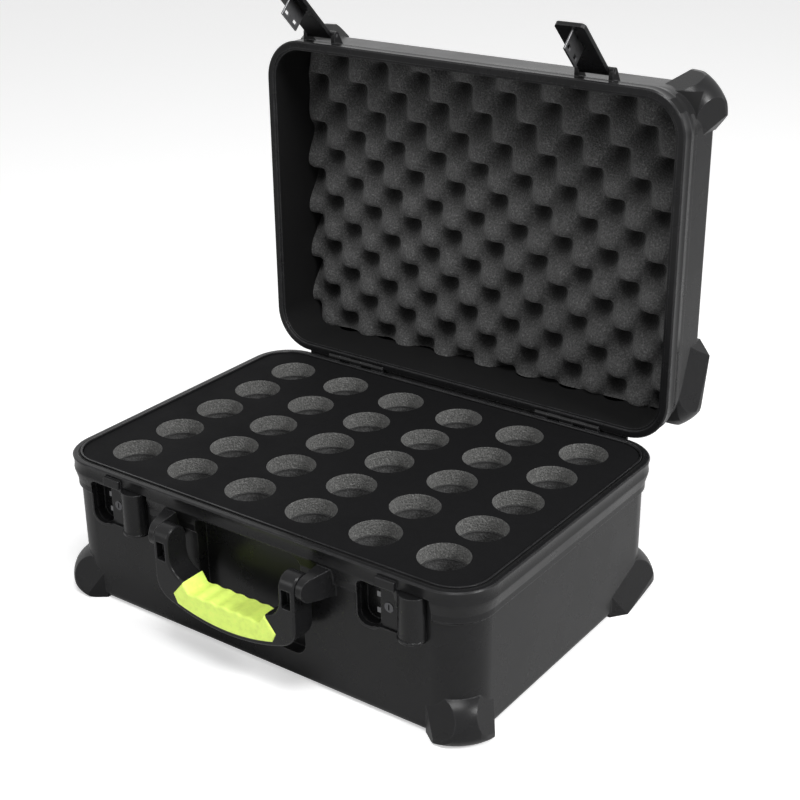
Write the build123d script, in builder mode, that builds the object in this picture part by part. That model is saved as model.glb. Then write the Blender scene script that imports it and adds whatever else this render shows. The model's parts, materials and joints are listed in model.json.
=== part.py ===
"""Hard microphone case with a foam deck for thirty microphones and a hinged lid.

Frame: +Z up, the front (latches and handle) faces -Y, +X to the right. The origin
is the centre of the flat bottom. Every piece is drawn with the lid shut, and the
lid's pieces are then turned back about the hinge pins to the open rest position.
Drops and rises are measured from the top of the foam deck.
"""

import math
import os

from build123d import *

# ---------------------------------------------------------------- driving sizes
# Moulded body
body_width = 461.6
body_depth = 324.8
body_corner = 36.0
wall = 3.5
deck_height = 145.0
bottom_round = 8.0
lid_height = 76.0
lid_round = 10.0

# Rims where the two shells meet
rim_lip = 6.0
rim_lip_rise = 0.5
tongue_rise = 1.8
edge_break = 0.6
seal_inset = 1.6
seal_width = 2.2
seal_rise = 0.6
seal_height = 3.2
band_depth = 12.0
band_hollow = 1.0
flare = 0.4
flare_land = 2.0
step_drop = 9.5
step_stand = 2.6
rim_drop = 32.0
parting_gap = 0.3
seal_rib_drop = 1.1
seal_rib_width = 1.1
seal_squeeze_gap = 0.3

# Corner bumpers
bumper_reach = 17.2
bumper_stand = 10.5
bumper_height = 40.0
bumper_nose = 12.0
bumper_corner = 27.0
bumper_lean_drop = 27.5
bumper_rise = 0.365
bumper_end_bevel = 15.0
bumper_bite = 0.8
bumper_foot_rise = 0.217
bumper_foot_lean = 12.0
front_bumper_run = 42.0
front_bumper_end = 27.5
rear_bumper_run = 78.0
rear_bumper_end = 22.0

# Foam
hole_columns = 6
hole_rows = 5
hole_pitch_x = 70.8
hole_pitch_y = 58.4
deck_hole_radius = 23.2
block_hole_radius = 21.0
hole_depth = 125.0
deck_foam_thickness = 15.0
foam_gap = 0.4
lid_foam_thickness = 26.0
lobe_height = 14.0
lobe_spacing = 36.3
lobe_turn = 49.2
lobe_reach = 13
pit_x = -197.7
pit_y = 9.7

# Hinges along the back
hinge_setback = 5.8
hinge_rise = 3.3
hinge_offset = 130.0
hinge_length = 72.0
hinge_barrel = 3.8
hinge_pin_radius = 1.5
hinge_running_gap = 0.05
hinge_gap = 0.4
hinge_flange = 11.0
hinge_gusset = 10.0
knuckles = 5
lid_open_angle = 90.0
ledge_stand = 3.6
ledge_step = 0.8
ledge_rise = 2.0
ledge_drop = 6.0
ledge_slope = 6.0
ledge_bite = 1.5

# Handle
handle_span = 161.0
handle_arm = 17.0
handle_depth = 25.0
handle_drop = 69.5
handle_corner = 22.0
handle_bow = 18.2
handle_pivot_out = 24.0
handle_pivot_drop = 29.0
handle_cap = 12.5
handle_inner_straight = 13.0
handle_side_gap = 0.8
handle_pin_radius = 3.0
handle_pin_gap = 0.08
handle_edge = 2.0
window_width = 10.0
window_height = 18.0
window_depth = 8.0
window_drop = 0.5
core_height = 13.0
core_rise = 9.0
core_depth = 16.0
core_overlap = 4.0
grip_half_length = 59.5
grip_tip_rise = 22.0
grip_foot_half = 55.0
grip_finger_rise = 28.0
grip_lip = 4.5
grip_swell = 1.2
grip_edge = 2.0
grip_horn = 9.0
grip_horn_half = 47.0
grip_finger_half = 41.0
grip_ripples = 6
ripple_depth = 1.2
ear_tip_width = 6.0
ear_root_width = 16.0
ear_tip_radius = 11.0
ear_root_height = 28.0
bay_depth = 12.0
bay_width = 122.0
bay_height = 104.0
bay_drop = 14.0
bay_corner = 12.0
ear_pin_depth = 4.5
handle_pin_seat = 12.0
handle_pin_clear = 0.8

# Latches, each drawn from its own centre line
latch_from_side = 73.8
housing_left = -39.0
housing_right = 36.0
housing_drop = 10.0
housing_height = 55.0
housing_depth = 15.0
housing_corner = 3.0
housing_wall = 2.0
pocket_left = -36.0
pocket_width = 22.0
pocket_drop = 15.0
pocket_height = 44.0
pocket_corner = 9.5
pocket_rim = 3.0
pocket_rim_stand = 1.8
brow_left = -13.0
brow_right = 7.0
brow_drop = 4.0
brow_height = 9.0
brow_stand = 8.5
brow_edge = 1.2
works_width = 18.0
works_drop = 15.5
works_height = 42.0
works_corner = 1.5
works_inset = 2.0
works_gap = 0.2
works_overlap = 1.0
bolt_thickness = 2.5
bolt_nose_height = 5.0
bolt_nose_spacing = 15.5
bolt_drop = 36.5
bolt_nose_reach = 5.5
bolt_travel = 5.5
bolt_gap = 0.3
bolt_inset = 4.5
slide_left = 8.0
slide_width = 26.0
slide_height = 43.0
slide_drop = 11.0
slide_stand = 14.0
slide_side = 2.5
slide_gap = 0.4
catch_lip = 1.2
catch_height = 2.0
slide_stem_width = 10.0
slide_stem_height = 14.0
lock_radius = 4.5
lock_gap = 0.08
lock_length = 9.0
lock_centre = -5.5
lock_proud = 0.4
keyway_width = 1.2
keyway_height = 5.5
keyway_depth = 3.0

# Hasps on the lid
hasp_rise = 16.0
hasp_out = 13.0
hasp_barrel = 4.0
hasp_pin_radius = 1.5
hasp_pin_gap = 0.05
hasp_left = -34.0
hasp_width = 30.0
hasp_plate = 4.0
hasp_length = 70.0
hasp_corner = 4.0
hasp_ear = 4.5
hasp_gap = 0.3
keeper_thickness = 2.0
keeper_reach = 20.0
keeper_top_gap = 6.5
keeper_play = 0.8
hasp_open_angle = 45.0

# ---------------------------------------------------------------- worked-out sizes
half_width = body_width / 2
half_depth = body_depth / 2
front = -half_depth
inner_width = body_width - 2 * wall
inner_depth = body_depth - 2 * wall
inner_corner = body_corner - wall
parting = deck_height + tongue_rise + parting_gap
lip_z = deck_height + rim_lip_rise
lid_lip_z = lip_z + parting_gap
lid_top = parting + lid_height
hinge_y = half_depth + hinge_setback
hinge_z = deck_height + hinge_rise
hinge_line = Axis((0, hinge_y, hinge_z), (1, 0, 0))
handle_y = front - handle_pivot_out
handle_z = deck_height - handle_pivot_drop
arm_outside = handle_span / 2
arm_inside = arm_outside - handle_arm
ear_inside = arm_outside + handle_side_gap
handle_bottom = handle_z - handle_drop
hasp_y = front - hasp_out
hasp_z = deck_height + hasp_rise
works_left = pocket_left + pocket_width
bolt_z = deck_height - bolt_drop
latch_offset = half_width - latch_from_side
latch_sides = {"left": -latch_offset, "right": latch_offset}

os.makedirs("parts", exist_ok=True)


def keep(part, name):
    """Write one finished piece as its own STEP file."""
    part.label = name
    export_step(part, f"parts/{name}.step")


def open_lid(part):
    """Turn a lid piece from shut to the open rest position."""
    return part.rotate(hinge_line, -lid_open_angle)


def open_hasp(part):
    """Swing a hasp piece out from its shut position, then turn it with the lid."""
    hasp_line = Axis((0, hasp_y, hasp_z), (1, 0, 0))
    return open_lid(part.rotate(hasp_line, -hasp_open_angle))


# ---------------------------------------------------------------- shells
def band_side(start, way):
    """Outer side of a rim, lip to wall: hollow band, flare, slope and step."""
    lip = half_width + rim_lip
    flare_z = start + way * band_depth
    ThreePointArc(
        (lip, start),
        (lip - band_hollow, start + way * band_depth / 2),
        (lip - flare, flare_z),
    )
    Polyline(
        (lip - flare, flare_z),
        (lip - 2 * flare, flare_z + way * flare_land),
        (half_width + step_stand, flare_z + way * (flare_land + step_drop)),
        (half_width + step_stand, start + way * (rim_drop - step_stand)),
        (half_width, start + way * rim_drop),
    )


def rim_path():
    """Half of the wall's outline at the deck, from right to left round the back."""
    with BuildLine(Plane.XY.offset(deck_height)) as path:
        FilletPolyline(
            (half_width, 0), (half_width, half_depth),
            (-half_width, half_depth), (-half_width, 0),
            radius=body_corner,
        )
    return path.wires()[0]


with BuildPart() as base_rim:
    inner = half_width - wall
    groove_in = half_width - seal_inset
    groove_out = groove_in + seal_width
    groove_floor = deck_height + seal_rise - seal_height
    lip_side = lip_z - 2 * edge_break
    with BuildSketch(Plane.XZ):
        with BuildLine():
            Polyline(
                (half_width, lip_side - rim_drop),
                (inner, lip_side - rim_drop - wall),
                (inner, deck_height + tongue_rise - edge_break),
                (inner + edge_break, deck_height + tongue_rise),
                (groove_in, deck_height + tongue_rise),
                (groove_in, groove_floor),
                (groove_out, groove_floor),
                (groove_out, lip_z),
                (half_width + rim_lip - 2 * edge_break, lip_z),
                (half_width + rim_lip, lip_side),
            )
            band_side(lip_side, -1)
        make_face()
    sweep(path=rim_path())
    mirror(about=Plane.XZ)

with BuildPart() as base_seal:
    with BuildSketch(Plane.XZ) as seal_profile:
        with Locations((groove_in + seal_width / 2, groove_floor + seal_height / 2)):
            Rectangle(seal_width, seal_height)
        chamfer(seal_profile.vertices().group_by(Axis.Y)[-1], seal_width / 4)
    sweep(path=rim_path())
    mirror(about=Plane.XZ)
keep(base_seal.part, "base_seal")

with BuildPart() as lid_rim:
    rib_in = half_width - seal_inset + (seal_width - seal_rib_width) / 2
    rib_out = rib_in + seal_rib_width
    rib_tip = deck_height + seal_rise + seal_squeeze_gap
    lip_in = half_width - seal_inset + seal_width
    lip_side = lid_lip_z + 2 * edge_break
    with BuildSketch(Plane.XZ):
        with BuildLine():
            Polyline(
                (half_width, lip_side + rim_drop),
                (inner, lip_side + rim_drop + wall),
                (inner, parting),
                (rib_in, parting),
                (rib_in, rib_tip),
                (rib_out, rib_tip),
                (lip_in, lid_lip_z),
                (half_width + rim_lip - 2 * edge_break, lid_lip_z),
                (half_width + rim_lip, lip_side),
            )
            band_side(lip_side, 1)
        make_face()
    sweep(path=rim_path())
    mirror(about=Plane.XZ)

# A bumper wraps a rounded corner, leaning out of both walls to a blunt round nose
corner_x = half_width - body_corner
corner_y = front + body_corner
with BuildPart() as nose_limit:
    with BuildSketch(Plane((corner_x, corner_y, 0), x_dir=(1, 0, 0), z_dir=(0, -1, 0))):
        with BuildLine():
            foot = body_corner + bumper_reach - bumper_nose
            Polyline((body_corner, bumper_height), (0, bumper_height), (0, 0), (foot, 0))
            TangentArc((foot, 0), (foot + bumper_nose, bumper_nose), tangent=(1, 0))
            TangentArc((foot + bumper_nose, bumper_nose), (body_corner, bumper_height), tangent=(0, 1))
        make_face()
    revolve(axis=Axis((corner_x, corner_y, 0), (0, 0, 1)))
    with BuildSketch():
        with BuildLine():
            Polyline(
                (half_width + bumper_reach, corner_y), (half_width + bumper_reach, half_depth),
                (0, half_depth), (0, front - bumper_reach),
                (corner_x, front - bumper_reach), (corner_x, corner_y),
                close=True,
            )
        make_face()
    extrude(amount=bumper_height)


def corner_bumper(side_run, side_end):
    """Bumper of the right front corner, side_run long and side_end high at its side end."""
    front_end = Vector(half_width - front_bumper_run, front, front_bumper_end)
    rear_end = Vector(half_width, front + side_run, side_end)
    lean_front = Vector(1, 0, bumper_rise)
    lean_side = Vector(0, -1, bumper_rise)
    down_front = Vector(0, -bumper_stand, -bumper_lean_drop)
    down_side = Vector(bumper_stand, 0, -bumper_lean_drop)
    front_foot = Vector(half_width - front_bumper_run + bumper_end_bevel, front - bumper_stand)
    side_foot = Vector(half_width + bumper_stand, front + side_run - bumper_end_bevel)
    along_front = Vector(1, 0, bumper_foot_rise)
    along_side = Vector(0, -1, bumper_foot_rise)
    up_front = Vector(0, -bumper_stand, bumper_foot_lean)
    up_side = Vector(bumper_stand, 0, bumper_foot_lean)
    with BuildPart() as bumper:
        with BuildSketch() as plan:
            with BuildLine():
                Polyline(
                    (half_width - bumper_bite, front + side_run),
                    (half_width + bumper_stand, front + side_run - bumper_end_bevel),
                    (half_width + bumper_stand, front - bumper_stand),
                    (half_width - front_bumper_run + bumper_end_bevel, front - bumper_stand),
                    (half_width - front_bumper_run, front + bumper_bite),
                    (half_width - front_bumper_run, front + side_run),
                    close=True,
                )
            make_face()
            nose = plan.vertices().group_by(Axis.X)[-1].sort_by(Axis.Y)[0]
            fillet(nose, bumper_corner)
        extrude(amount=bumper_height)
        add(nose_limit.part, mode=Mode.INTERSECT)
        for point, across, along in (
            (front_end, down_front, lean_front), (rear_end, lean_side, down_side),
            (front_foot, along_front, up_front), (side_foot, up_side, along_side),
        ):
            split(bisect_by=Plane(point, z_dir=across.cross(along)), keep=Keep.BOTTOM)
    return bumper.part


front_bumper = corner_bumper(front_bumper_run, front_bumper_end)
rear_bumper = corner_bumper(rear_bumper_run, rear_bumper_end).mirror(Plane.XZ)
bumpers = [front_bumper, rear_bumper]
bumpers += [one.mirror(Plane.YZ) for one in bumpers]


def facing_front(y):
    """Plane seen from the front at depth y; its own axes are +X and +Z."""
    return Plane.XZ.offset(-y)


def front_box(left, right, bottom, top, corner, back, reach, mode=Mode.ADD):
    """Extrude a rounded upright rectangle from depth back towards the front."""
    with BuildSketch(facing_front(back)) as outline:
        with Locations(((left + right) / 2, (bottom + top) / 2)):
            RectangleRounded(right - left, top - bottom, corner)
    extrude(outline.sketch, amount=reach, mode=mode)


# An ear carries one end of the handle's pivot; its outer side flares to the wall
with BuildPart() as ear:
    with BuildSketch(Plane.YZ.offset(ear_inside)):
        with Locations((handle_y, handle_z)):
            Circle(ear_tip_radius)
        with Locations((front + wall / 2, handle_z)):
            Rectangle(wall, ear_root_height)
        make_hull()
    extrude(amount=ear_root_width)
    with BuildSketch(Plane.XY.offset(handle_z - ear_root_height)):
        with BuildLine():
            Polyline(
                (ear_inside, front + wall),
                (ear_inside, handle_y - ear_tip_radius),
                (ear_inside + ear_tip_width, handle_y - ear_tip_radius),
                (ear_inside + ear_root_width, front),
                (ear_inside + ear_root_width, front + wall),
                close=True,
            )
        make_face()
    extrude(amount=2 * ear_root_height, mode=Mode.INTERSECT)
    with BuildSketch(Plane.YZ.offset(ear_inside)):
        with Locations((handle_y, handle_z)):
            Circle(handle_pin_radius)
    extrude(amount=ear_pin_depth, mode=Mode.SUBTRACT)


def knuckle_spans(lid_side):
    """Start and length, along X, of each knuckle that one shell carries."""
    pitch = hinge_length / knuckles
    spans = []
    for side in (-hinge_offset, hinge_offset):
        for index in range(knuckles):
            if (index % 2 == 1) == lid_side:
                spans.append((side - hinge_length / 2 + index * pitch, pitch))
    return spans


def hinge_half(way, own_side, bore):
    """Flange, webs and barrels of one shell's hinges; way is -1 down, 1 up."""
    back = hinge_y + hinge_barrel
    near = way * (hinge_barrel + hinge_gap)
    foot = near + way * (hinge_flange + hinge_gusset)
    for side in (-hinge_offset, hinge_offset):
        with BuildSketch(Plane.YZ.offset(side - hinge_length / 2)) as flange:
            with BuildLine():
                Polyline(
                    (half_depth - wall / 2, hinge_z + near),
                    (back, hinge_z + near),
                    (back, hinge_z + near + way * hinge_flange),
                    (half_depth, hinge_z + foot),
                    (half_depth - wall / 2, hinge_z + foot),
                    close=True,
                )
            make_face()
        extrude(flange.sketch, amount=hinge_length)
    for start, length in knuckle_spans(own_side):
        with BuildSketch(Plane.YZ.offset(start + hinge_gap / 2)) as knuckle:
            with Locations((hinge_y, hinge_z)):
                Circle(hinge_barrel)
            with Locations((hinge_y, hinge_z + near / 2)):
                Rectangle(2 * hinge_barrel, abs(near))
        extrude(knuckle.sketch, amount=length - hinge_gap)
        with BuildSketch(Plane.YZ.offset(start)) as pin_hole:
            with Locations((hinge_y, hinge_z)):
                Circle(bore)
        extrude(pin_hole.sketch, amount=length, mode=Mode.SUBTRACT)


def clear_knuckles(way, other_side):
    """Cut room in a rim for the other shell's barrels and webs."""
    reach = hinge_barrel + hinge_gap
    for start, length in knuckle_spans(other_side):
        with BuildSketch(Plane.YZ.offset(start)) as room:
            with Locations((hinge_y, hinge_z)):
                Circle(reach)
            with Locations((hinge_y, hinge_z - way * reach / 2)):
                Rectangle(2 * reach, reach)
        extrude(room.sketch, amount=length, mode=Mode.SUBTRACT)


# Raised rim round a latch pocket and the brow above it, drawn about x = 0
pocket_top = deck_height - pocket_drop
brow_top = deck_height - brow_drop
with BuildPart() as latch_surround:
    front_box(
        pocket_left - pocket_rim, works_left + pocket_rim,
        pocket_top - pocket_height - pocket_rim, pocket_top + pocket_rim,
        pocket_corner + pocket_rim, front + wall / 2, wall / 2 + pocket_rim_stand,
    )
    fillet(latch_surround.faces().sort_by(Axis.Y)[0].edges(), brow_edge)
    front_box(
        brow_left, brow_right, brow_top - brow_height, brow_top,
        brow_edge, front + wall / 2, wall / 2 + brow_stand,
    )
    fillet(latch_surround.faces().sort_by(Axis.Y)[0].edges(), brow_edge)

with BuildPart() as base_shell:
    with BuildSketch():
        RectangleRounded(body_width, body_depth, body_corner)
    extrude(amount=lip_z - 2 * edge_break - rim_drop)
    fillet(base_shell.edges().group_by(Axis.Z)[0], bottom_round)
    add(bumpers)
    with BuildSketch(Plane.XY.offset(wall)):
        RectangleRounded(inner_width, inner_depth, inner_corner)
    extrude(amount=deck_height, mode=Mode.SUBTRACT)
    add(base_rim.part)
    add([ear.part, ear.part.mirror(Plane.YZ)])
    hinge_half(-1, False, hinge_pin_radius)
    clear_knuckles(-1, True)
    add(base_seal.part, mode=Mode.SUBTRACT)
    # A ledge along the back closes the gap between the open shells beside the hinges
    ledge_inner = hinge_offset - hinge_length / 2 - hinge_gap
    ledge_outer = hinge_offset + hinge_length / 2 + hinge_gap
    rim_back = half_depth + rim_lip
    lip_foot = lip_z - 2 * edge_break
    for left, right in (
        (-corner_x, -ledge_outer), (-ledge_inner, ledge_inner), (ledge_outer, corner_x),
    ):
        with BuildSketch(Plane.YZ.offset(left)):
            with BuildLine():
                Polyline(
                    (rim_back - ledge_bite, lip_foot),
                    (rim_back + ledge_step, lip_foot),
                    (rim_back + ledge_step, deck_height + ledge_rise),
                    (rim_back + ledge_stand, deck_height + ledge_rise),
                    (rim_back + ledge_stand, deck_height - ledge_drop),
                    (rim_back - ledge_bite, deck_height - ledge_drop - ledge_slope),
                    close=True,
                )
            make_face()
        extrude(amount=right - left)
    # The handle's bay has a lining inside the front wall
    bay_right = bay_width / 2
    bay_top = deck_height - bay_drop
    front_box(
        -bay_right - wall, bay_right + wall, bay_top - bay_height - wall, bay_top + wall,
        bay_corner, front + bay_depth + wall, bay_depth + wall / 2,
    )
    front_box(
        -bay_right, bay_right, bay_top - bay_height, bay_top,
        bay_corner, front + bay_depth, bay_depth + 2 * rim_lip, Mode.SUBTRACT,
    )
    works_top = deck_height - works_drop
    slide_top = deck_height - slide_drop
    slide_right = slide_left + slide_width
    stem_left = slide_left + (slide_width - slide_stem_width) / 2
    for centre in latch_sides.values():
        # Room for the thumb slide's travel, then the raised trim
        front_box(
            centre + slide_left - slide_gap, centre + slide_right + bolt_travel + slide_gap,
            slide_top - slide_height - slide_gap, slide_top + slide_gap,
            slide_gap, front, 2 * rim_lip, Mode.SUBTRACT,
        )
        add(latch_surround.part.moved(Pos(centre, 0, 0)))
        # Openings for the hasp's keeper, the works and the slide's stem
        front_box(
            centre + pocket_left, centre + works_left, pocket_top - pocket_height, pocket_top,
            pocket_corner, front + wall, 2 * wall + rim_lip, Mode.SUBTRACT,
        )
        front_box(
            centre + works_left - pocket_corner, centre + works_left + works_width,
            works_top - works_height, works_top,
            works_corner, front + wall, 2 * wall + rim_lip, Mode.SUBTRACT,
        )
        front_box(
            centre + stem_left - bolt_gap,
            centre + stem_left + slide_stem_width + bolt_travel + bolt_gap,
            bolt_z - slide_stem_height / 2 - bolt_gap,
            bolt_z + slide_stem_height / 2 + bolt_gap,
            bolt_gap, front + wall, 2 * wall, Mode.SUBTRACT,
        )
keep(base_shell.part, "base_shell")

# ---------------------------------------------------------------- foam in the base
with BuildPart() as recess_room:
    room = wall + foam_gap
    front_box(
        -bay_right - room, bay_right + room, bay_top - bay_height - room, bay_top + room,
        bay_corner, front + bay_depth + room, bay_depth + room,
    )
    housing_top = deck_height - housing_drop
    for centre in latch_sides.values():
        front_box(
            centre + housing_left - foam_gap, centre + housing_right + foam_gap,
            housing_top - housing_height - foam_gap, housing_top + foam_gap,
            housing_corner, front + housing_depth + foam_gap, housing_depth,
        )

with BuildPart() as foam_deck:
    with BuildSketch(Plane.XY.offset(deck_height - deck_foam_thickness)):
        RectangleRounded(inner_width - 2 * foam_gap, inner_depth - 2 * foam_gap, inner_corner)
        with GridLocations(hole_pitch_x, hole_pitch_y, hole_columns, hole_rows):
            Circle(deck_hole_radius, mode=Mode.SUBTRACT)
    extrude(amount=deck_foam_thickness)
    add(recess_room.part, mode=Mode.SUBTRACT)
keep(foam_deck.part, "foam_deck")

with BuildPart() as foam_block:
    with BuildSketch(Plane.XY.offset(wall)):
        RectangleRounded(inner_width - 2 * foam_gap, inner_depth - 2 * foam_gap, inner_corner)
    extrude(amount=deck_height - deck_foam_thickness - wall)
    chamfer(foam_block.edges().group_by(Axis.Z)[0], bottom_round - wall)
    with BuildSketch(Plane.XY.offset(deck_height - hole_depth)):
        with GridLocations(hole_pitch_x, hole_pitch_y, hole_columns, hole_rows):
            Circle(block_hole_radius)
    extrude(amount=hole_depth, mode=Mode.SUBTRACT)
    add(recess_room.part, mode=Mode.SUBTRACT)
keep(foam_block.part, "foam_block")

# ---------------------------------------------------------------- hinge pins
for side, name in ((-hinge_offset, "left"), (hinge_offset, "right")):
    with BuildPart() as hinge_pin:
        with BuildSketch(Plane.YZ.offset(side - hinge_length / 2 + hinge_gap)):
            with Locations((hinge_y, hinge_z)):
                Circle(hinge_pin_radius)
        extrude(amount=hinge_length - 2 * hinge_gap)
    keep(hinge_pin.part, f"hinge_pin_{name}")

# ---------------------------------------------------------------- handle
handle_front = handle_y - handle_depth / 2
horn_z = handle_bottom + grip_finger_rise + grip_horn


def bow_rise(x):
    """Height of the bail's bowed bottom at x, above its lowest point."""
    radius = (arm_outside**2 + handle_bow**2) / (2 * handle_bow)
    return radius - (radius**2 - x**2) ** 0.5


with BuildPart() as grip_core:
    with BuildSketch(Plane.YZ):
        with Locations((handle_y, handle_bottom + core_rise + core_height / 2)):
            RectangleRounded(core_depth, core_height, handle_edge)
    extrude(amount=grip_half_length + core_overlap, both=True)

with BuildPart() as grip_body:
    with BuildSketch(facing_front(handle_y)):
        with BuildLine():
            foot_z = handle_bottom + grip_lip + bow_rise(grip_foot_half)
            tip_z = handle_bottom + grip_tip_rise
            finger_z = handle_bottom + grip_finger_rise
            ThreePointArc(
                (-grip_foot_half, foot_z), (0, handle_bottom + grip_lip), (grip_foot_half, foot_z)
            )
            for side in (-1, 1):
                Polyline(
                    (side * grip_foot_half, foot_z),
                    (side * grip_half_length, tip_z),
                    (side * grip_horn_half, horn_z),
                    (side * grip_finger_half, finger_z),
                )
            # Hollows for the fingers, with a soft crest between each two
            arcs = 2 * grip_ripples - 1
            chord = 2 * grip_finger_half / arcs
            for index in range(arcs):
                start = index * chord - grip_finger_half
                rise = (index % 2 - 0.5) * ripple_depth
                ThreePointArc(
                    (start, finger_z), (start + chord / 2, finger_z + rise),
                    (start + chord, finger_z),
                )
        make_face()
    extrude(amount=handle_depth / 2 + grip_swell, both=True)

with BuildPart() as handle_bail:
    with BuildSketch(facing_front(handle_y)) as bail_face:
        with BuildLine():
            bow_end = handle_bottom + handle_bow
            arm_top = handle_z + handle_cap
            inside_z = handle_z - handle_inner_straight
            ThreePointArc((-arm_outside, bow_end), (0, handle_bottom), (arm_outside, bow_end))
            for side in (-1, 1):
                Polyline(
                    (side * arm_outside, bow_end), (side * arm_outside, arm_top),
                    (side * arm_inside, arm_top), (side * arm_inside, inside_z),
                )
                TangentArc(
                    (side * arm_inside, inside_z), (side * grip_horn_half, horn_z), tangent=(0, -1)
                )
            Polyline(
                (-grip_horn_half, horn_z), (-grip_horn_half, tip_z),
                (grip_horn_half, tip_z), (grip_horn_half, horn_z),
            )
        make_face()
        corners = bail_face.vertices().group_by(Axis.X)
        fillet([corners[0].sort_by(Axis.Y)[0], corners[-1].sort_by(Axis.Y)[0]], handle_corner)
    extrude(amount=handle_depth / 2, both=True)
    with BuildSketch(Plane.YZ):
        with Locations((handle_y, handle_z)):
            Circle(handle_cap)
        with Locations((handle_y, (handle_z + handle_bottom) / 2)):
            Rectangle(handle_depth, handle_drop)
    extrude(amount=arm_outside, both=True, mode=Mode.INTERSECT)
    fillet(handle_bail.edges().filter_by(Axis.Y, reverse=True), handle_edge)
    # The grip's sleeve takes the bar's skin away down to a plain core and a lower lip
    add(grip_body.part, mode=Mode.SUBTRACT)
    add(grip_core.part)
    for side in (-1, 1):
        arm_middle = side * (arm_inside + arm_outside) / 2
        window_middle = handle_z - window_drop - window_height / 2
        with BuildSketch(facing_front(handle_front + window_depth)):
            with Locations((arm_middle, window_middle)):
                RectangleRounded(window_width, window_height, handle_edge / 2)
        extrude(amount=window_depth, mode=Mode.SUBTRACT)
        with BuildSketch(Plane.YZ.offset(side * arm_outside)):
            with Locations((handle_y, handle_z)):
                Circle(handle_pin_radius + handle_pin_gap)
        extrude(amount=-side * handle_pin_seat, mode=Mode.SUBTRACT)
keep(handle_bail.part, "handle_bail")

with BuildPart() as handle_grip:
    add(grip_body.part)
    faces = handle_grip.faces()
    fillet(faces.sort_by(Axis.Y)[0].edges() + faces.sort_by(Axis.Y)[-1].edges(), grip_edge)
    add(grip_core.part, mode=Mode.SUBTRACT)
keep(handle_grip.part, "handle_grip")

for side, name in ((-1, "left"), (1, "right")):
    with BuildPart() as handle_pin:
        with BuildSketch(Plane.YZ.offset(side * (ear_inside + ear_pin_depth))):
            with Locations((handle_y, handle_z)):
                Circle(handle_pin_radius)
        extrude(amount=-side * (ear_pin_depth + handle_side_gap + handle_pin_seat - handle_pin_clear))
    keep(handle_pin.part, f"handle_pin_{name}")

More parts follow.
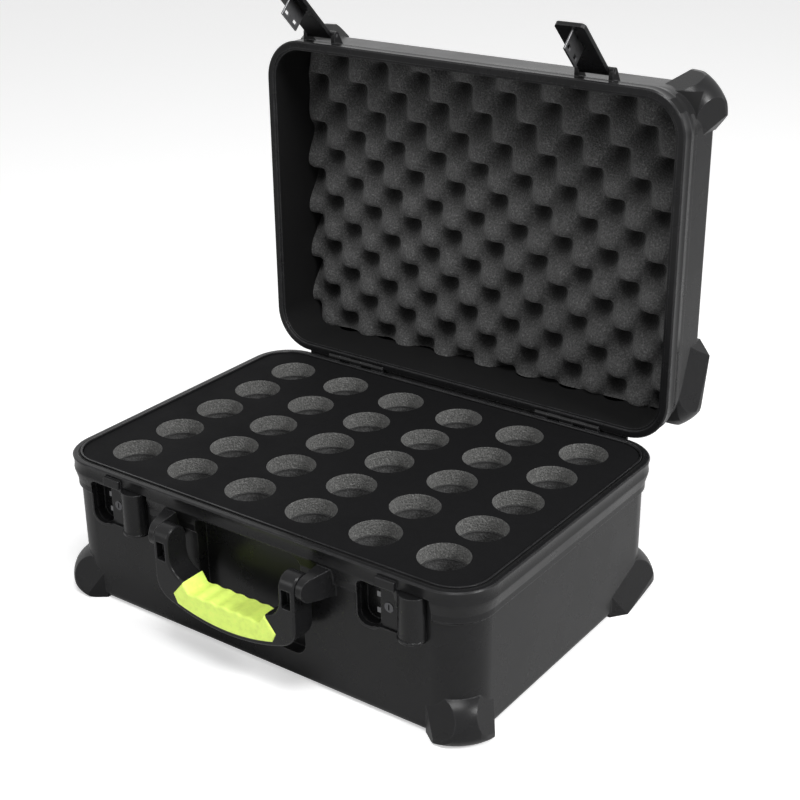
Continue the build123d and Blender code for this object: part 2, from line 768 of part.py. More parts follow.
# ---------------------------------------------------------------- latches
bolt_front = front + bolt_inset
slide_back = front - slide_gap
prong_half = (bolt_nose_spacing + bolt_nose_height) / 2
for name, centre in latch_sides.items():
    with BuildPart() as latch_housing:
        # A closed box behind the wall, with a pad that fills the works opening
        front_box(
            centre + housing_left, centre + housing_right,
            housing_top - housing_height, housing_top,
            housing_corner, front + housing_depth, housing_depth - wall,
        )
        front_box(
            centre + works_left, centre + works_left + works_width - works_gap,
            works_top - works_height + works_gap, works_top - works_gap,
            works_corner, front + 2 * wall, 2 * wall - works_inset,
        )
        front_box(
            centre + pocket_left, centre + works_left, pocket_top - pocket_height, pocket_top,
            pocket_corner, front + housing_depth - housing_wall, housing_depth, Mode.SUBTRACT,
        )
        # Channel that the forked bolt slides in, open to the pocket
        front_box(
            centre + works_left - works_overlap, centre + housing_right - housing_wall,
            bolt_z - prong_half - bolt_gap, bolt_z + prong_half + bolt_gap,
            bolt_gap, bolt_front + bolt_thickness + bolt_gap,
            bolt_thickness + 2 * bolt_gap, Mode.SUBTRACT,
        )
        # Slot for the thumb slide's stem
        front_box(
            centre + stem_left - bolt_gap,
            centre + stem_left + slide_stem_width + bolt_travel + bolt_gap,
            bolt_z - slide_stem_height / 2 - bolt_gap,
            bolt_z + slide_stem_height / 2 + bolt_gap,
            bolt_gap, bolt_front, bolt_inset, Mode.SUBTRACT,
        )
        with BuildSketch(facing_front(front + housing_depth)):
            with Locations((centre + lock_centre, bolt_z)):
                Circle(lock_radius + lock_gap)
        extrude(amount=housing_depth, mode=Mode.SUBTRACT)
    keep(latch_housing.part, f"latch_housing_{name}")

    with BuildPart() as latch_bolt:
        fork_left = lock_centre + lock_radius + bolt_gap
        fork_right = housing_right - housing_wall - bolt_travel - bolt_gap
        front_box(
            centre + fork_left, centre + fork_right,
            bolt_z - prong_half, bolt_z + prong_half,
            bolt_gap, bolt_front + bolt_thickness, bolt_thickness,
        )
        for side in (-1, 1):
            prong_z = bolt_z + side * bolt_nose_spacing / 2
            front_box(
                centre + works_left - bolt_nose_reach, centre + fork_left + works_overlap,
                prong_z - bolt_nose_height / 2, prong_z + bolt_nose_height / 2,
                bolt_gap, bolt_front + bolt_thickness, bolt_thickness,
            )
    keep(latch_bolt.part, f"latch_bolt_{name}")

    with BuildPart() as latch_slide:
        slide_middle = centre + slide_left + slide_width / 2
        for stand, height in ((slide_stand, slide_height), (slide_stand + catch_lip, catch_height)):
            with BuildSketch(Plane.XY.offset(slide_top - slide_height)) as slide_face:
                with BuildLine():
                    Polyline(
                        (centre + slide_left, slide_back - slide_side),
                        (centre + slide_left, slide_back),
                        (centre + slide_right, slide_back),
                        (centre + slide_right, slide_back - slide_side),
                    )
                    ThreePointArc(
                        (centre + slide_right, slide_back - slide_side),
                        (slide_middle, front - stand),
                        (centre + slide_left, slide_back - slide_side),
                    )
                make_face()
            extrude(slide_face.sketch, amount=height)
        front_box(
            centre + stem_left, centre + stem_left + slide_stem_width,
            bolt_z - slide_stem_height / 2, bolt_z + slide_stem_height / 2,
            bolt_gap, bolt_front, bolt_front - slide_back,
        )
    keep(latch_slide.part, f"latch_slide_{name}")

    with BuildPart() as key_cylinder:
        lock_face = front + works_inset - lock_proud
        with BuildSketch(facing_front(lock_face + lock_length)):
            with Locations((centre + lock_centre, bolt_z)):
                Circle(lock_radius)
        extrude(amount=lock_length)
        front_box(
            centre + lock_centre - keyway_width / 2, centre + lock_centre + keyway_width / 2,
            bolt_z - keyway_height / 2, bolt_z + keyway_height / 2,
            keyway_width / 3, lock_face + keyway_depth, 2 * keyway_depth, Mode.SUBTRACT,
        )
    keep(key_cylinder.part, f"key_cylinder_{name}")

# ---------------------------------------------------------------- lid
with BuildPart() as hasp_ear_pair:
    for left in (hasp_left - hasp_gap - hasp_ear, hasp_left + hasp_width + hasp_gap):
        with BuildSketch(Plane.YZ.offset(left)):
            with Locations((hasp_y, hasp_z)):
                Circle(hasp_barrel)
            with Locations((front + wall / 2, hasp_z + hasp_barrel)):
                Rectangle(wall, 4 * hasp_barrel)
            make_hull()
        extrude(amount=hasp_ear)
        with BuildSketch(Plane.YZ.offset(left)):
            with Locations((hasp_y, hasp_z)):
                Circle(hasp_pin_radius)
        extrude(amount=hasp_ear, mode=Mode.SUBTRACT)

with BuildPart() as lid_shell:
    wall_bottom = lid_lip_z + 2 * edge_break + rim_drop
    with BuildSketch(Plane.XY.offset(wall_bottom)):
        RectangleRounded(body_width, body_depth, body_corner)
    extrude(amount=lid_top - wall_bottom)
    fillet(lid_shell.edges().group_by(Axis.Z)[-1], lid_round)
    add([one.mirror(Plane.XY.offset(lid_top / 2)) for one in bumpers])
    with BuildSketch(Plane.XY.offset(parting)):
        RectangleRounded(inner_width, inner_depth, inner_corner)
    extrude(amount=lid_height - wall, mode=Mode.SUBTRACT)
    add(lid_rim.part)
    hinge_half(1, True, hinge_pin_radius + hinge_running_gap)
    clear_knuckles(1, False)
    for centre in latch_sides.values():
        add(hasp_ear_pair.part.moved(Pos(centre, 0, 0)))
keep(open_lid(lid_shell.part), "lid_shell")

def lobe_ridges(turn):
    """Sheet with ridges across it, its pits on a line through one pit, turned by an angle."""
    roof = lid_top - wall
    pit_z = roof - lid_foam_thickness + lobe_height
    along = (math.cos(math.radians(turn)), math.sin(math.radians(turn)), 0)
    across = Plane((pit_x, pit_y, 0), x_dir=along, z_dir=(along[1], -along[0], 0))
    with BuildPart() as ridges:
        with BuildSketch(across):
            with BuildLine():
                Polyline(
                    [
                        (step * lobe_spacing / 2, pit_z - (step % 2) * lobe_height)
                        for step in range(-2 * lobe_reach, 2 * lobe_reach + 1)
                    ]
                    + [(lobe_reach * lobe_spacing, roof), (-lobe_reach * lobe_spacing, roof)],
                    close=True,
                )
            make_face()
        extrude(amount=lobe_reach * lobe_spacing, both=True)
    return ridges.part


# Egg-crate sheet whose lobes point out of the lid's roof
with BuildPart() as lid_foam:
    with BuildSketch(Plane.XY.offset(lid_top - wall - lid_foam_thickness)):
        RectangleRounded(inner_width - 2 * foam_gap, inner_depth - 2 * foam_gap, inner_corner)
    extrude(amount=lid_foam_thickness)
    add(lobe_ridges(lobe_turn), mode=Mode.INTERSECT)
    add(lobe_ridges(lobe_turn + 90), mode=Mode.INTERSECT)
keep(open_lid(lid_foam.part), "lid_foam")

for name, centre in latch_sides.items():
    plate_back = hasp_y + hasp_barrel
    with BuildPart() as hasp_pin:
        with BuildSketch(Plane.YZ.offset(centre + hasp_left - hasp_gap - hasp_ear)):
            with Locations((hasp_y, hasp_z)):
                Circle(hasp_pin_radius)
        extrude(amount=hasp_width + 2 * (hasp_gap + hasp_ear))
    keep(open_lid(hasp_pin.part), f"hasp_pin_{name}")

    with BuildPart() as hasp_lever:
        with BuildSketch(Plane.YZ.offset(centre + hasp_left)):
            with Locations((hasp_y, hasp_z)):
                Circle(hasp_barrel)
            with Locations((plate_back - hasp_plate / 2, hasp_z - hasp_length / 2)):
                Rectangle(hasp_plate, hasp_length)
        extrude(amount=hasp_width)
        front_box(
            centre + hasp_left, centre + hasp_left + hasp_width,
            hasp_z - hasp_length, hasp_z + 2 * hasp_barrel,
            hasp_corner, plate_back, 3 * hasp_barrel, Mode.INTERSECT,
        )
        with BuildSketch(Plane.YZ.offset(centre + hasp_left)):
            with Locations((hasp_y, hasp_z)):
                Circle(hasp_pin_radius + hasp_pin_gap)
        extrude(amount=hasp_width, mode=Mode.SUBTRACT)
    keep(open_hasp(hasp_lever.part), f"hasp_lever_{name}")

    with BuildPart() as hasp_keeper:
        fin_right = works_left - bolt_nose_reach / 4
        keeper_top = deck_height - pocket_drop - keeper_top_gap
        keeper_bottom = hasp_z - hasp_length + hasp_corner
        front_box(
            centre + fin_right - keeper_thickness, centre + fin_right,
            keeper_bottom, keeper_top,
            keeper_thickness / 3, plate_back + keeper_reach, keeper_reach,
        )
        for side in (-1, 1):
            prong_z = bolt_z + side * bolt_nose_spacing / 2
            with BuildSketch(Plane.YZ.offset(centre + fin_right)):
                with Locations((bolt_front + bolt_thickness / 2, prong_z)):
                    Rectangle(bolt_thickness + 2 * keeper_play, bolt_nose_height + 2 * keeper_play)
            extrude(amount=-keeper_thickness, mode=Mode.SUBTRACT)
    keep(open_hasp(hasp_keeper.part), f"hasp_keeper_{name}")
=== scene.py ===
"""Dresses the microphone case: foam, finishes, studio light and camera."""
import json
import math

import bmesh
import bpy
from mathutils import Matrix, Vector, noise


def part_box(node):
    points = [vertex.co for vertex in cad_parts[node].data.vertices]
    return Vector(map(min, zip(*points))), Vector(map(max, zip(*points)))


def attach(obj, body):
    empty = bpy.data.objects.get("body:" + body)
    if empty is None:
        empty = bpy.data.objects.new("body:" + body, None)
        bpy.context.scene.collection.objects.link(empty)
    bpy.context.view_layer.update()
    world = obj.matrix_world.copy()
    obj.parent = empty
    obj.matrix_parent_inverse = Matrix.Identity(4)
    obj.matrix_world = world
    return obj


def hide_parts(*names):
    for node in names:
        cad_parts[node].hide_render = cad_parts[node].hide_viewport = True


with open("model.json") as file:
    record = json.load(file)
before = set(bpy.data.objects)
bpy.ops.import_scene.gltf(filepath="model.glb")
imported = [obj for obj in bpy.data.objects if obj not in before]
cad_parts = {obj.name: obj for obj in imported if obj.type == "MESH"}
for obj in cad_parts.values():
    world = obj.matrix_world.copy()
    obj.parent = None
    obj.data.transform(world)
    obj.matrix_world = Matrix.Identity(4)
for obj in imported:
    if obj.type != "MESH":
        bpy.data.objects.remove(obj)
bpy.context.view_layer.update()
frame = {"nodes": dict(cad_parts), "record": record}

bl_info = {
    "name": "Microphone Case",
    "version": (1, 0, 0),
    "blender": (4, 5, 0),
    "location": "View3D > Sidebar > Mic Case",
    "description": "Foam, finishes, light and camera for a hard case that holds thirty microphones",
    "category": "Object",
}

NODES = frame["nodes"]
DECK_LOW, DECK_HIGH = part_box("foam_deck")
BLOCK_LOW, BLOCK_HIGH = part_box("foam_block")
CRATE_LOW, CRATE_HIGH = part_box("lid_foam")

SAME_PLACE = 1e-5                       # points nearer than this are one point
HOLE_POINTS = 48                        # points round a hole
# lowest and highest corner of the shell's wall round the handle bay
BAY_LINING = ((-0.0649, -0.170, 0.0231), (0.0649, -0.1465, 0.1349))
CUT_ROOM = 0.0004                       # air between the foam and what it is cut out for
PAST_FRONT = 0.02                       # how far the cutter stands out of the foam's front
SKIN_TILT = 0.3                         # faces that point up more than this carry the deck's skin
CRATE_MESH = (190, 132)                 # faces of the egg-crate foam, across and up
CRATE_PIT = (-0.1977, 0.3068)           # middle of one pit, across and up
CRATE_PROUD = 0.0015                    # room left for the rough surface on the lobes' tops
ROUGH_SPREAD, ROUGH_RISE = 45.0, 0.0012  # uneven cut of the lobes: how close together, and how high

NOISE_SPAN = (0.3, 0.7)                 # where nearly all values of a noise lie
EDGE_WIDTH, EDGE_PAINTED_LIFT = 0.0015, 5.0     # how wide moulded edges are rubbed, and how much paler they are painted: partly rubbed wear, partly painted highlight
GLOSS_DRIFT = 0.05                      # how far the roughness of moulded pieces wanders
GRAIN_DEPTH, CELL_DEPTH = 0.0003, 0.0008
INSIDE_DARKENING, INSIDE_ROUGHENING = 0.35, 0.5    # the lid's inside is darker and rougher than the shell
LID_WALL, LID_MOUTH = 0.002, 0.0455     # from the egg-crate foam's box out into the wall, and to the rim
PAINTED_NEAR_LIGHT, PAINTED_DEEP_SHADE = 1.25, 0.12      # painted light and painted shade: the foam's colour is lifted where it is nearest and darkened where it is deepest
LEDGE_PAINTED_SHADE = (-0.003, 0.0005)           # painted shade on the block's top ledge: from the block's top to where its foam is palest and darkest
PIT_PAINTED_SHADE = (0.003, 0.0185)             # painted shade in the pits: from the lobes' tops to where their foam is palest and darkest

FLOOR_REACH = 6.0                       # half the floor's width
FLOOR_TINT = (0.86, 0.86, 0.86)
WHITE = (1.0, 1.0, 1.0, 1.0)
LAMP_AIM = (0, 0, 0.15)                 # the middle of the case, which every lamp faces
SENSOR_WIDTH = 36.0


# ---------------------------------------------------------------- settings
class MICCASE_FoamSizes(bpy.types.PropertyGroup):
    """Sizes of the foam deck, the block under it and the egg-crate foam in the lid."""

    pitch_x: bpy.props.FloatProperty(
        name="Column Pitch", description="Distance between hole columns", default=0.0708, unit="LENGTH")
    pitch_y: bpy.props.FloatProperty(
        name="Row Pitch", description="Distance between hole rows", default=0.0584, unit="LENGTH")
    columns: bpy.props.IntProperty(name="Columns", description="Hole columns", default=6, min=1)
    rows: bpy.props.IntProperty(name="Rows", description="Hole rows", default=5, min=1)
    deck_hole: bpy.props.FloatProperty(
        name="Deck Hole Radius", description="Radius of the holes in the deck", default=0.0232, unit="LENGTH")
    block_hole: bpy.props.FloatProperty(
        name="Block Hole Radius", description="Radius of the holes in the block", default=0.0210,
        unit="LENGTH")
    hole_floor: bpy.props.FloatProperty(
        name="Hole Floor", description="Height of the bottom of the holes", default=0.020, unit="LENGTH")
    corner: bpy.props.FloatProperty(
        name="Corner Radius", description="Corner radius of the foam seen from above", default=0.0321,
        unit="LENGTH")
    hole_edge: bpy.props.FloatProperty(
        name="Hole Edge", description="Rounding of the deck's cut edges", default=0.0009, unit="LENGTH")
    crate_pitch: bpy.props.FloatProperty(
        name="Crate Pitch", description="Distance between like lobes of the egg-crate foam", default=0.0514,
        unit="LENGTH")
    crate_turn: bpy.props.FloatProperty(
        name="Crate Turn", description="How far the sheet is laid askew in the lid",
        default=math.radians(-4.2), subtype="ANGLE")
    crate_base: bpy.props.FloatProperty(
        name="Crate Base", description="Foam left at the bottom of a pit", default=0.003, unit="LENGTH")
    crate_fullness: bpy.props.FloatProperty(
        name="Lobe Fullness", description="Above 1 the lobes are broad and the pits narrow", default=1.6)
    crate_droop: bpy.props.FloatProperty(
        name="Lobe Droop", description="How far the lobes sag when the lid stands open", default=0.014,
        unit="LENGTH")


class MICCASE_Finishes(bpy.types.PropertyGroup):
    """Colours of the case's materials."""

    shell: bpy.props.FloatVectorProperty(
        name="Shell", description="Moulded shells and handle", subtype="COLOR",
        default=(0.0090, 0.0090, 0.0095))
    latch: bpy.props.FloatVectorProperty(
        name="Latch", description="Latch plastic", subtype="COLOR", default=(0.0062, 0.0062, 0.0066))
    seal: bpy.props.FloatVectorProperty(
        name="Seal", description="Rubber seal", subtype="COLOR", default=(0.003, 0.003, 0.003))
    skin: bpy.props.FloatVectorProperty(
        name="Deck Skin", description="Smooth skin on the deck foam", subtype="COLOR",
        default=(0.0042, 0.0042, 0.0046))
    cut_foam: bpy.props.FloatVectorProperty(
        name="Cut Foam", description="Cut walls of the deck foam", subtype="COLOR",
        default=(0.125, 0.125, 0.121))
    deep_foam: bpy.props.FloatVectorProperty(
        name="Deep Foam", description="Foam block under the deck", subtype="COLOR",
        default=(0.045, 0.045, 0.045))
    crate_foam: bpy.props.FloatVectorProperty(
        name="Crate Foam", description="Egg-crate foam", subtype="COLOR", default=(0.057, 0.057, 0.057))
    grip: bpy.props.FloatVectorProperty(
        name="Grip", description="Rubber grip", subtype="COLOR", default=(0.78, 0.99, 0.18))
    steel: bpy.props.FloatVectorProperty(
        name="Steel", description="Pins and bolts", subtype="COLOR", default=(0.16, 0.16, 0.165))
    chrome: bpy.props.FloatVectorProperty(
        name="Lock", description="Plated lock barrels", subtype="COLOR", default=(0.10, 0.10, 0.105))


class MICCASE_Stage(bpy.types.PropertyGroup):
    """Camera place and lamp strengths."""

    azimuth: bpy.props.FloatProperty(
        name="Azimuth", description="Camera turn round the case", default=math.radians(36.0), subtype="ANGLE")
    elevation: bpy.props.FloatProperty(
        name="Elevation", description="Camera height angle", default=math.radians(23.958), subtype="ANGLE")
    roll: bpy.props.FloatProperty(
        name="Roll", description="Camera tilt", default=math.radians(-0.629), subtype="ANGLE")
    distance: bpy.props.FloatProperty(
        name="Distance", description="From the camera to the deck", default=1.44437, unit="LENGTH")
    aim_right: bpy.props.FloatProperty(
        name="Aim Right", description="Sideways shift of the view", default=0.03863, unit="LENGTH")
    aim_up: bpy.props.FloatProperty(
        name="Aim Up", description="Upward shift of the view", default=0.05444, unit="LENGTH")
    lens: bpy.props.FloatProperty(name="Lens", description="Focal length in mm", default=68.443)
    shift: bpy.props.FloatProperty(name="Shift", description="Upright shift of the lens", default=-0.00686)
    key: bpy.props.FloatProperty(
        name="Key", description="Power of the side softbox", default=44.0, subtype="POWER")
    top: bpy.props.FloatProperty(
        name="Top", description="Power of the top softbox", default=30.0, subtype="POWER")
    fill: bpy.props.FloatProperty(
        name="Fill", description="Power of the front fill", default=9.0, subtype="POWER")
    world: bpy.props.FloatProperty(name="Surround", description="Light of the white room", default=0.32)
    floor_lift: bpy.props.FloatProperty(
        name="Floor Lift", description="Makes the floor white to the camera", default=0.45)
    # painted reflection: the floor is dimmer where the case's gloss sees it
    floor_painted_reflection: bpy.props.FloatProperty(
        name="Floor Mirrored", description="How bright the floor is in the case's gloss", default=0.82)


# ---------------------------------------------------------------- shader groups
def place(tree, kind, values=None, **settings):
    """Add a shader node, set its options and fill its inputs with numbers or links."""
    node = tree.nodes.new("ShaderNode" + kind)
    for key, value in settings.items():
        setattr(node, key, value)
    for key, value in (values or {}).items():
        if isinstance(value, bpy.types.NodeSocket):
            tree.links.new(value, node.inputs[key])
        else:
            node.inputs[key].default_value = value
    return node


def start_group(name, inputs, outputs):
    """Start a shader group with float inputs (name: default) and its outputs (name: kind)."""
    tree = bpy.data.node_groups.new(name, "ShaderNodeTree")
    for label, default in inputs.items():
        socket = tree.interface.new_socket(label, in_out="INPUT", socket_type="NodeSocketFloat")
        socket.default_value = default
    for label, kind in outputs.items():
        tree.interface.new_socket(label, in_out="OUTPUT", socket_type="NodeSocket" + kind)
    return tree, tree.nodes.new("NodeGroupInput"), tree.nodes.new("NodeGroupOutput")


def remap(tree, value, low, high, to_low, to_high):
    """Stretch a value from one range to another, held inside it."""
    return place(tree, "MapRange", {
        "Value": value, "From Min": low, "From Max": high, "To Min": to_low, "To Max": to_high,
    }).outputs["Result"]


def compute(tree, operation, *values):
    """One step of arithmetic on numbers or links."""
    return place(tree, "Math", dict(enumerate(values)), operation=operation).outputs[0]


def moulded_grain():
    """Fine moulded texture: a height, and slow drifts of shade and gloss."""
    tree, entry, leave = start_group(
        "Moulded Grain", {"Fineness": 1100.0}, {"Height": "Float", "Shade": "Float", "Gloss": "Float"})
    point = place(tree, "TexCoord").outputs["Object"]
    fine = place(tree, "TexNoise", {
        "Vector": point, "Scale": entry.outputs["Fineness"], "Detail": 3.0, "Roughness": 0.6})
    broad = place(tree, "TexNoise", {"Vector": point, "Scale": 17.0, "Detail": 5.0, "Roughness": 0.62})
    mottled = place(tree, "TexNoise", {"Vector": point, "Scale": 120.0, "Detail": 4.0, "Roughness": 0.7})
    tree.links.new(fine.outputs["Fac"], leave.inputs["Height"])
    tree.links.new(remap(tree, mottled.outputs["Fac"], *NOISE_SPAN, 0.90, 1.10), leave.inputs["Shade"])
    tree.links.new(remap(tree, broad.outputs["Fac"], *NOISE_SPAN, 0.0, 1.0), leave.inputs["Gloss"])
    return tree


def open_cells():
    """Open-cell foam: dark pores, pale struts that sparkle, and a rough height."""
    tree, entry, leave = start_group(
        "Open Cells", {"Fineness": 900.0}, {"Height": "Float", "Shade": "Float"})
    point = place(tree, "TexCoord").outputs["Object"]
    cells = place(tree, "TexVoronoi", {"Vector": point, "Scale": entry.outputs["Fineness"]}, feature="F1")
    speckle = place(tree, "TexNoise", {
        "Vector": point, "Scale": entry.outputs["Fineness"], "Detail": 2.0, "Roughness": 0.8})
    broad = place(tree, "TexNoise", {"Vector": point, "Scale": 60.0, "Detail": 3.0})
    pores = remap(tree, cells.outputs["Distance"], 0.05, 0.75, 0.55, 1.25)
    sparkle = remap(tree, speckle.outputs["Fac"], 0.50, 0.72, 0.85, 1.9)
    drift = remap(tree, broad.outputs["Fac"], *NOISE_SPAN, 0.92, 1.08)
    shade = compute(tree, "MULTIPLY", compute(tree, "MULTIPLY", pores, sparkle), drift)
    height = compute(tree, "ADD", cells.outputs["Distance"], speckle.outputs["Fac"])
    tree.links.new(shade, leave.inputs["Shade"])
    tree.links.new(height, leave.inputs["Height"])
    return tree


def edge_wear_and_highlight():
    """Mask of the edges that hands and floors have rubbed, in patches, which pales colours partly as wear and
    partly as a painted highlight, and a normal that rounds them.
    """
    tree, entry, leave = start_group(
        "Edge Wear And Highlight", {"Width": 0.0008, "Amount": 1.0}, {"Mask": "Float", "Normal": "Vector"})
    point = place(tree, "TexCoord").outputs["Object"]
    rounded = place(tree, "Bevel", {"Radius": entry.outputs["Width"]}, samples=4)
    true_normal = place(tree, "NewGeometry").outputs["Normal"]
    bend = place(
        tree, "VectorMath", {0: rounded.outputs["Normal"], 1: true_normal}, operation="DOT_PRODUCT")
    edge = remap(tree, bend.outputs["Value"], 0.995, 0.80, 0.0, 1.0)
    patches = place(tree, "TexNoise", {"Vector": point, "Scale": 90.0, "Detail": 4.0, "Roughness": 0.65})
    patchy = remap(tree, patches.outputs["Fac"], 0.35, 0.65, 0.25, 1.0)
    mask = compute(tree, "MULTIPLY", compute(tree, "MULTIPLY", edge, patchy), entry.outputs["Amount"])
    tree.links.new(mask, leave.inputs["Mask"])
    tree.links.new(rounded.outputs["Normal"], leave.inputs["Normal"])
    return tree


def start_material(name):
    """Start a material; returns it with its Principled shader."""
    material = bpy.data.materials.new(name)
    material.use_nodes = True
    return material, material.node_tree, material.node_tree.nodes["Principled BSDF"]


def use_group(tree, group, **values):
    """Place a shader group in a material with its own values."""
    node = tree.nodes.new("ShaderNodeGroup")
    node.node_tree = group
    for key, value in values.items():
        node.inputs[key].default_value = value
    return node


def shaded(tree, colour, shade):
    """A colour made lighter and darker by a shade value."""
    return place(tree, "VectorMath", {0: colour, "Scale": shade}, operation="SCALE").outputs["Vector"]


def bumped(tree, height, strength, distance, over=None):
    """A bump normal from a height, over another normal if one is given."""
    values = {"Height": height, "Strength": strength, "Distance": distance}
    if over is not None:
        values["Normal"] = over
    return place(tree, "Bump", values).outputs["Normal"]


def inside_box(tree, low, high):
    """Mask of the points inside a box."""
    point = place(tree, "SeparateXYZ", {"Vector": place(tree, "TexCoord").outputs["Object"]})
    mask = 1.0
    for axis, start, end in zip("XYZ", low, high):
        within = compute(tree, "COMPARE", point.outputs[axis], (start + end) / 2, (end - start) / 2)
        mask = compute(tree, "MULTIPLY", within, mask)
    return mask


def moulded_material(
    name, groups, colour, *, rough, sheen, wear_and_highlight, fineness, bump, dim_box=None, painted_reflection_dim=1.0,
):
    """Moulded plastic or rubber: grain, drifting gloss, and edges rubbed smoother and painted paler, partly
    as wear and partly as a painted highlight.

    Walls inside the given box are darker and rougher. A factor below 1 dims the piece's colour in other
    pieces' gloss: a painted darker reflection.
    """
    material, tree, shader = start_material(name)
    grain = use_group(tree, groups["grain"], Fineness=fineness)
    edges = use_group(tree, groups["edges"], Width=EDGE_WIDTH, Amount=wear_and_highlight)
    body = shaded(tree, colour, grain.outputs["Shade"])
    # edges painted paler: partly rubbed wear, partly painted highlight
    body = shaded(tree, body, compute(tree, "MULTIPLY_ADD", edges.outputs["Mask"], EDGE_PAINTED_LIFT, 1.0))
    roughness = remap(
        tree, grain.outputs["Gloss"], 0.0, 1.0, rough - GLOSS_DRIFT, rough + GLOSS_DRIFT)
    if dim_box is not None:
        in_dim_box = inside_box(tree, *dim_box)
        body = shaded(tree, body, remap(tree, in_dim_box, 0.0, 1.0, 1.0, INSIDE_DARKENING))
        roughness = compute(tree, "MULTIPLY_ADD", in_dim_box, INSIDE_ROUGHENING, roughness)
    # painted reflection: the piece's colour is dimmed in other pieces' gloss
    if painted_reflection_dim < 1.0:
        glossy = place(tree, "LightPath").outputs["Is Glossy Ray"]
        body = shaded(tree, body, remap(tree, glossy, 0.0, 1.0, 1.0, painted_reflection_dim))
    tree.links.new(body, shader.inputs["Base Color"])
    tree.links.new(roughness, shader.inputs["Roughness"])
    tree.links.new(edges.outputs["Mask"], shader.inputs["Coat Weight"])
    shader.inputs["Coat Roughness"].default_value = 0.22
    shader.inputs["Specular IOR Level"].default_value = sheen
    normal = bumped(tree, grain.outputs["Height"], bump, GRAIN_DEPTH, edges.outputs["Normal"])
    tree.links.new(normal, shader.inputs["Normal"])
    return material


def foam_material(name, groups, colour, *, fineness, bump, depth=None):
    """Charcoal open-cell foam, cut open; depth gives an axis and where its painted shade is palest and
    darkest.
    """
    material, tree, shader = start_material(name)
    cells = use_group(tree, groups["cells"], Fineness=fineness)
    tint = shaded(tree, colour, cells.outputs["Shade"])
    # painted shade: the colour is lightened near the front and darkened deeper along the axis
    if depth is not None:
        axis, pale, dark = depth
        point = place(tree, "SeparateXYZ", {"Vector": place(tree, "TexCoord").outputs["Object"]})
        tint = shaded(tree, tint, remap(tree, point.outputs[axis], pale, dark, PAINTED_NEAR_LIGHT, PAINTED_DEEP_SHADE))
    tree.links.new(tint, shader.inputs["Base Color"])
    tree.links.new(bumped(tree, cells.outputs["Height"], bump, CELL_DEPTH), shader.inputs["Normal"])
    shader.inputs["Roughness"].default_value = 0.95
    shader.inputs["Specular IOR Level"].default_value = 0.15
    shader.inputs["Sheen Weight"].default_value = 0.15
    shader.inputs["Sheen Roughness"].default_value = 0.6
    return material


def skin_material(name, groups, colour):
    """Smooth closed skin on top of the deck foam."""
    material, tree, shader = start_material(name)
    cells = use_group(tree, groups["cells"], Fineness=700.0)
    grain = use_group(tree, groups["grain"], Fineness=420.0)
    soft = remap(tree, cells.outputs["Shade"], 0.4, 1.6, 0.85, 1.2)
    shade = compute(tree, "MULTIPLY", soft, grain.outputs["Shade"])
    tree.links.new(shaded(tree, colour, shade), shader.inputs["Base Color"])
    tree.links.new(remap(tree, grain.outputs["Gloss"], 0.0, 1.0, 0.78, 0.92), shader.inputs["Roughness"])
    tree.links.new(bumped(tree, grain.outputs["Height"], 0.25, 0.0004), shader.inputs["Normal"])
    shader.inputs["Specular IOR Level"].default_value = 0.1
    return material


def metal_material(name, groups, colour, rough):
    """Plated steel with fine drawing lines along X."""
    material, tree, shader = start_material(name)
    point = place(tree, "TexCoord").outputs["Object"]
    along = place(tree, "Mapping", {"Vector": point, "Scale": (60.0, 2400.0, 2400.0)})
    lines = place(tree, "TexNoise", {"Vector": along.outputs["Vector"], "Scale": 1.0, "Detail": 3.0})
    edges = use_group(tree, groups["edges"], Width=0.0004, Amount=0.6)
    shade = remap(tree, lines.outputs["Fac"], *NOISE_SPAN, 0.85, 1.12)
    tree.links.new(shaded(tree, colour, shade), shader.inputs["Base Color"])
    polished = compute(tree, "MULTIPLY_ADD", edges.outputs["Mask"], -0.1, rough)
    tree.links.new(polished, shader.inputs["Roughness"])
    tree.links.new(bumped(tree, lines.outputs["Fac"], 0.15, 0.0001), shader.inputs["Normal"])
    shader.inputs["Metallic"].default_value = 1.0
    return material


def made(name):
    """A material that the finishes operator has made."""
    if name not in bpy.data.materials:
        raise RuntimeError(f"finish {name} is missing: run the finishes operator first")
    return bpy.data.materials[name]


# ---------------------------------------------------------------- mesh helpers
def to_object(bm, name, materials, sharp_angle=40.0):
    """Turn a bmesh into a smooth-shaded object with its materials."""
    bmesh.ops.recalc_face_normals(bm, faces=bm.faces)
    mesh = bpy.data.meshes.new(name)
    bm.to_mesh(mesh)
    bm.free()
    for material in materials:
        mesh.materials.append(material)
    mesh.shade_smooth()
    mesh.set_sharp_from_angle(angle=math.radians(sharp_angle))
    piece = bpy.data.objects.new(name, mesh)
    bpy.context.collection.objects.link(piece)
    return piece


def even_shading(piece):
    """Weight the normals by face so that flat faces stay flat beside their rounded edges."""
    weighted = piece.modifiers.new("Even Shading", "WEIGHTED_NORMAL")
    weighted.weight = 100
    weighted.keep_sharp = True


def settle_modifiers(piece):
    """Make the modifiers' result the piece's own mesh."""
    mesh = bpy.data.meshes.new_from_object(piece.evaluated_get(bpy.context.evaluated_depsgraph_get()))
    piece.modifiers.clear()
    piece.data = mesh


def points_of(geometry):
    """The points among the results of a bmesh operator."""
    return [part for part in geometry if isinstance(part, bmesh.types.BMVert)]


def open_edges(geometry):
    """The edges among the results of a bmesh operator that have a face on one side only."""
    return [part for part in geometry if isinstance(part, bmesh.types.BMEdge) and part.is_boundary]


